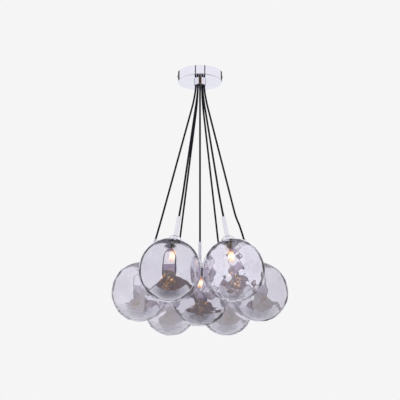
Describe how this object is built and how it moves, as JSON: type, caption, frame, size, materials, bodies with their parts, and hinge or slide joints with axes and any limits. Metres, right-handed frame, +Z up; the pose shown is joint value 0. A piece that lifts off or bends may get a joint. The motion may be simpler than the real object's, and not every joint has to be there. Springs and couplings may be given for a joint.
{
  "type": "cluster pendant light",
  "caption": "Cluster pendant: glass balls on black flexes that hang from a gatherer under a round chrome ceiling rose, each ball with its own stem, cap, lamp holder and capsule lamp.",
  "frame": {"origin": "middle of the ceiling face: the top of the bracket and the rim of the rose", "axes": "+Z up towards the ceiling, so the light hangs in -Z; +X to the viewer's right; the viewer, who sees the two short-hung balls in front, stands at -Y"},
  "size_m": [0.4486, 0.4083, 0.6959],
  "materials": {
    "chrome": "polished chrome plate",
    "zinc_steel": "zinc-plated steel",
    "black_flex": "braided black cotton over a round flex",
    "lead_sheath": "grey insulation",
    "terminal_plastic": "cream insulating plastic",
    "brass": "plain brass",
    "ceramic": "white glazed ceramic",
    "silicone": "clear silicone",
    "smoked_glass": "smoked clear glass with shallow dimples",
    "lamp_glass": "clear lamp glass"
  },
  "bodies": {
    "root": {"ceiling_rose": "chrome", "ceiling_bracket": "zinc_steel", "cover_screws": "chrome", "cord_gatherer": "chrome", "gatherer_screws": "zinc_steel", "cord_stops": "zinc_steel", "stop_screws": "zinc_steel", "cord_tails": "black_flex", "inner_leads": "lead_sheath", "terminal_block": "terminal_plastic", "terminal_screws": "brass", "flex_centre": "black_flex", "stem_centre": "chrome", "cap_centre": "chrome", "lamp_holder_centre": "ceramic", "seal_centre": "silicone"},
    "drop_right": {"flex_right": "black_flex", "stem_right": "chrome", "cap_right": "chrome", "lamp_holder_right": "ceramic", "seal_right": "silicone"},
    "globe_right": {"globe_right": "smoked_glass"},
    "lamp_right": {"lamp_right": "lamp_glass"},
    "drop_back_right": {"flex_back_right": "black_flex", "stem_back_right": "chrome", "cap_back_right": "chrome", "lamp_holder_back_right": "ceramic", "seal_back_right": "silicone"},
    "globe_back_right": {"globe_back_right": "smoked_glass"},
    "lamp_back_right": {"lamp_back_right": "lamp_glass"},
    "drop_back_left": {"flex_back_left": "black_flex", "stem_back_left": "chrome", "cap_back_left": "chrome", "lamp_holder_back_left": "ceramic", "seal_back_left": "silicone"},
    "globe_back_left": {"globe_back_left": "smoked_glass"},
    "lamp_back_left": {"lamp_back_left": "lamp_glass"},
    "drop_left": {"flex_left": "black_flex", "stem_left": "chrome", "cap_left": "chrome", "lamp_holder_left": "ceramic", "seal_left": "silicone"},
    "globe_left": {"globe_left": "smoked_glass"},
    "lamp_left": {"lamp_left": "lamp_glass"},
    "drop_front_left": {"flex_front_left": "black_flex", "stem_front_left": "chrome", "cap_front_left": "chrome", "lamp_holder_front_left": "ceramic", "seal_front_left": "silicone"},
    "globe_front_left": {"globe_front_left": "smoked_glass"},
    "lamp_front_left": {"lamp_front_left": "lamp_glass"},
    "drop_front_right": {"flex_front_right": "black_flex", "stem_front_right": "chrome", "cap_front_right": "chrome", "lamp_holder_front_right": "ceramic", "seal_front_right": "silicone"},
    "globe_front_right": {"globe_front_right": "smoked_glass"},
    "lamp_front_right": {"lamp_front_right": "lamp_glass"},
    "globe_centre": {"globe_centre": "smoked_glass"},
    "lamp_centre": {"lamp_centre": "lamp_glass"}
  },
  "joints": [
    {"name": "swing_right", "type": "hinge", "parent": "root", "child": "drop_right", "pos_m": [0.011, 0, -0.035], "axis": [0, -1, 0], "range_deg": [0, 25]},
    {"name": "globe_off_right", "type": "slide", "parent": "drop_right", "child": "globe_right", "axis": [0.2622, 0, -0.965], "range_m": [0, 0.09]},
    {"name": "lamp_out_right", "type": "slide", "parent": "drop_right", "child": "lamp_right", "axis": [0.2622, 0, -0.965], "range_m": [0, 0.02]},
    {"name": "swing_back_right", "type": "hinge", "parent": "root", "child": "drop_back_right", "pos_m": [0.0055, 0.00953, -0.035], "axis": [0.866, -0.5, 0], "range_deg": [0, 25]},
    {"name": "globe_off_back_right", "type": "slide", "parent": "drop_back_right", "child": "globe_back_right", "axis": [0.1252, 0.2168, -0.9681], "range_m": [0, 0.09]},
    {"name": "lamp_out_back_right", "type": "slide", "parent": "drop_back_right", "child": "lamp_back_right", "axis": [0.1252, 0.2168, -0.9681], "range_m": [0, 0.02]},
    {"name": "swing_back_left", "type": "hinge", "parent": "root", "child": "drop_back_left", "pos_m": [-0.0055, 0.00953, -0.035], "axis": [0.866, 0.5, 0], "range_deg": [0, 25]},
    {"name": "globe_off_back_left", "type": "slide", "parent": "drop_back_left", "child": "globe_back_left", "axis": [-0.1252, 0.2168, -0.9681], "range_m": [0, 0.09]},
    {"name": "lamp_out_back_left", "type": "slide", "parent": "drop_back_left", "child": "lamp_back_left", "axis": [-0.1252, 0.2168, -0.9681], "range_m": [0, 0.02]},
    {"name": "swing_left", "type": "hinge", "parent": "root", "child": "drop_left", "pos_m": [-0.011, 0, -0.035], "axis": [0, 1, 0], "range_deg": [0, 25]},
    {"name": "globe_off_left", "type": "slide", "parent": "drop_left", "child": "globe_left", "axis": [-0.2622, 0, -0.965], "range_m": [0, 0.09]},
    {"name": "lamp_out_left", "type": "slide", "parent": "drop_left", "child": "lamp_left", "axis": [-0.2622, 0, -0.965], "range_m": [0, 0.02]},
    {"name": "swing_front_left", "type": "hinge", "parent": "root", "child": "drop_front_left", "pos_m": [-0.0055, -0.00953, -0.035], "axis": [-0.866, 0.5, 0], "range_deg": [0, 25]},
    {"name": "globe_off_front_left", "type": "slide", "parent": "drop_front_left", "child": "globe_front_left", "axis": [-0.1495, -0.259, -0.9542], "range_m": [0, 0.09]},
    {"name": "lamp_out_front_left", "type": "slide", "parent": "drop_front_left", "child": "lamp_front_left", "axis": [-0.1495, -0.259, -0.9542], "range_m": [0, 0.02]},
    {"name": "swing_front_right", "type": "hinge", "parent": "root", "child": "drop_front_right", "pos_m": [0.0055, -0.00953, -0.035], "axis": [-0.866, -0.5, 0], "range_deg": [0, 25]},
    {"name": "globe_off_front_right", "type": "slide", "parent": "drop_front_right", "child": "globe_front_right", "axis": [0.1495, -0.259, -0.9542], "range_m": [0, 0.09]},
    {"name": "lamp_out_front_right", "type": "slide", "parent": "drop_front_right", "child": "lamp_front_right", "axis": [0.1495, -0.259, -0.9542], "range_m": [0, 0.02]},
    {"name": "globe_off_centre", "type": "slide", "parent": "root", "child": "globe_centre", "axis": [0, 0, -1], "range_m": [0, 0.09]},
    {"name": "lamp_out_centre", "type": "slide", "parent": "root", "child": "lamp_centre", "axis": [0, 0, -1], "range_m": [0, 0.02]}
  ]
}
